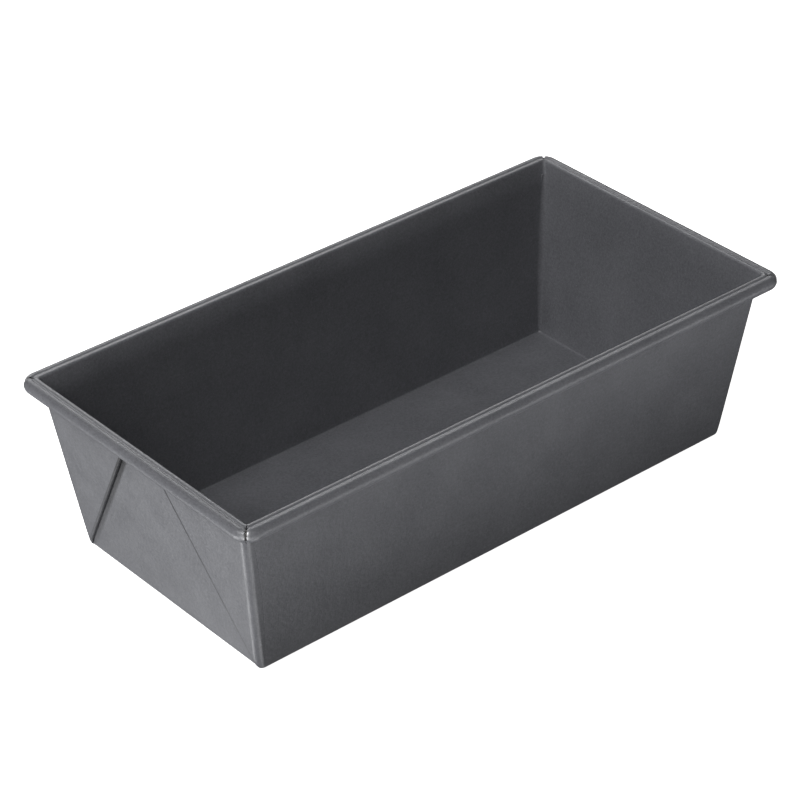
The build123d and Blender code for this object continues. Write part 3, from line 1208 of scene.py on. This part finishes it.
@dataclass(frozen=True)
class Softbox:
    """One round soft light that faces the pan.

    Attributes:
        name: Name of the light.
        azimuth: Its direction from the pan in degrees, from +X towards +Y.
        elevation: Its height above the floor in degrees, negative for one that shines up through the floor.
        watts: Its power.
        sheen_only: Whether it shows only in the gloss of the pan, as a dim distant panel would.
        size: Its width in metres.
        distance: Its distance from the pan in metres.
    """

    name: str
    azimuth: float
    elevation: float
    watts: float
    sheen_only: bool = False
    size: float = 1.1
    distance: float = 2.0

    def build(self, aim: float) -> None:
        """Makes the light, facing the middle of the pan.

        Args:
            aim: Height that it faces, in metres.
        """
        data = bpy.data.lights.new(self.name, "AREA")
        data.shape = "DISK"
        data.size = self.size
        data.energy = self.watts
        lamp = bpy.data.objects.new(self.name, data)
        a, e = math.radians(self.azimuth), math.radians(self.elevation)
        way = Vector((math.cos(e) * math.cos(a), math.cos(e) * math.sin(a), math.sin(e)))
        lamp.location = way * self.distance + Vector((0, 0, aim))
        lamp.rotation_euler = way.to_track_quat("Z", "Y").to_euler()
        lamp.visible_camera = False
        lamp.visible_diffuse = not self.sheen_only
        bpy.context.scene.collection.objects.link(lamp)


@dataclass(frozen=True)
class Studio:
    """Pale floor, soft lights and the camera.

    Only the camera sees the floor, so the lights below its level shine through it.

    Attributes:
        height: Height of the pan in millimetres.
        focal_share: Focal length of the lens over the width of the picture.
        azimuth: How far the camera is turned about the vertical, in degrees.
        elevation: How far it looks down.
        roll: How far it is rolled about its own axis.
        offset_x: Its place to the right of the middle of the pan's underside, in heights of the pan.
        offset_y: Its place up from there, square to the view.
        distance: Its place back from there, along the view.
        sensor: Width of its sensor in millimetres.
        sight: How far it sees, in metres.
        card_watts: Power of the glowing card in front of the pan.
        card_length: Length of the card in metres.
        card_width: Width of the card.
        card_place: The pan's middle to the card's, along Y.
        room_light: Strength of the even light of the room.
        floor_reach: The pan's middle to the floor's edge in metres.
        floor_dim: Brightness of the floor's darkest clouds.
        floor_cloud: Size of those clouds in millimetres.
        softboxes: The soft lights.
    """

    height: float
    focal_share: float = 3.7985
    azimuth: float = -39.761
    elevation: float = 32.736
    roll: float = -1.048
    offset_x: float = -0.06259
    offset_y: float = 0.45897
    distance: float = 15.9577
    sensor: float = 36.0
    sight: float = 50.0
    card_watts: float = 6.1
    card_length: float = 1.2
    card_width: float = 0.9
    card_place: float = -0.62
    room_light: float = 0.012
    floor_reach: float = 6.0
    floor_dim: float = 0.985
    floor_cloud: float = 60.0
    softboxes: tuple[Softbox, ...] = (
        Softbox("back_rim", 75, 28, 9.0),
        Softbox("left_high", 180, 52, 22.4),
        Softbox("left_low", 158, -35, 22.0),
        Softbox("left_floor", 188, -14, 14.0),
        Softbox("corner_fill", 228, -30, 2.2),
        Softbox("front_floor", 270, -55, 9.0),
        Softbox("front_high", 270, 52, 3.7),
        Softbox("left_level", 195, 28, 3.4),
        Softbox("back_sheen", 50, 33, 9.0, True),
    )

    def camera(self) -> None:
        """Makes the camera from its three turns and its place along its own axes."""
        data = bpy.data.cameras.new("portrait_camera")
        data.sensor_width = self.sensor
        data.lens = self.focal_share * self.sensor
        data.clip_end = self.sight
        a, e, r = (math.radians(v) for v in (self.azimuth, self.elevation, self.roll))
        right = Vector((math.cos(a), math.sin(a), 0))
        back = Vector((math.sin(a) * math.cos(e), -math.cos(a) * math.cos(e), math.sin(e)))
        up = back.cross(right)
        x = math.cos(r) * right + math.sin(r) * up
        y = -math.sin(r) * right + math.cos(r) * up
        place = (self.offset_x * x + self.offset_y * y + self.distance * back) * self.height * MM
        camera = bpy.data.objects.new("portrait_camera", data)
        camera.matrix_world = Matrix.Translation(place) @ Matrix((x, y, back)).transposed().to_4x4()
        bpy.context.scene.collection.objects.link(camera)
        bpy.context.scene.camera = camera

    def floor(self) -> None:
        """Makes the pale floor, which glows to the camera and lights nothing."""
        mesh = bpy.data.meshes.new("studio_floor")
        square = ((-1, -1, 0), (1, -1, 0), (1, 1, 0), (-1, 1, 0))
        corner_points = [tuple(self.floor_reach * share for share in corner) for corner in square]
        mesh.from_pydata(corner_points, [], [(0, 1, 2, 3)])
        made = Nodes("studio_floor")
        shade = made.remap(made.noise(self.floor_cloud, 2), self.floor_dim, 1.0)
        made.dress("Emission Strength", shade)
        made.shader.inputs["Base Color"].default_value = (1, 1, 1, 1)
        made.shader.inputs["Emission Color"].default_value = (1, 1, 1, 1)
        made.shader.inputs["Roughness"].default_value = 0.9
        mesh.materials.append(made.material)
        floor = bpy.data.objects.new("studio_floor", mesh)
        floor.visible_diffuse = floor.visible_glossy = floor.visible_shadow = False
        bpy.context.scene.collection.objects.link(floor)

    def front_card(self) -> None:
        """Makes the glowing card that lies in front of the pan and lights its side from below."""
        data = bpy.data.lights.new("front_card", "AREA")
        data.shape = "RECTANGLE"
        data.size, data.size_y = self.card_length, self.card_width
        data.energy = self.card_watts
        lamp = bpy.data.objects.new("front_card", data)
        lamp.location = (0, self.card_place, 0)
        lamp.rotation_euler = (math.pi, 0, 0)
        lamp.visible_camera = False
        bpy.context.scene.collection.objects.link(lamp)

    def build(self) -> None:
        """Makes the whole studio."""
        scene = bpy.context.scene
        scene.view_settings.view_transform = "Standard"
        world = bpy.data.worlds.new("studio")
        world.use_nodes = True
        world.node_tree.nodes["Background"].inputs["Color"].default_value = (1, 1, 1, 1)
        world.node_tree.nodes["Background"].inputs["Strength"].default_value = self.room_light
        scene.world = world
        self.floor()
        for softbox in self.softboxes:
            softbox.build(self.height * MM / 2)
        self.front_card()
        self.camera()


# ---------------------------------------------------------------- the pan


def main() -> None:
    """Builds the pan's pieces in order, then the studio round them."""
    logging.basicConfig(level=logging.INFO, format="%(name)s: %(message)s")
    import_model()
    sizes = PanSizes.from_frame()
    coating = CoatedSheetFinish().material(sizes)
    steel = WireFinish().material()
    tub = PanTub(sizes).build(coating)
    pleats = [CornerPleat(sizes, corner).build(coating) for corner in Corner]
    wire = RimWire(sizes).build(steel)
    made = [(piece, "pan_sheet", "coated_sheet") for piece in (tub, *pleats)]
    made.append((wire, "rim_wire", "wire_steel"))
    for piece, node, slot in made:
        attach(piece, "root")
        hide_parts(node)
        LOG.info("%s: %d faces, stands for %s", piece.name, len(piece.data.polygons), node)
    Studio(sizes.height).build()


if __name__ == "__main__":
    main()
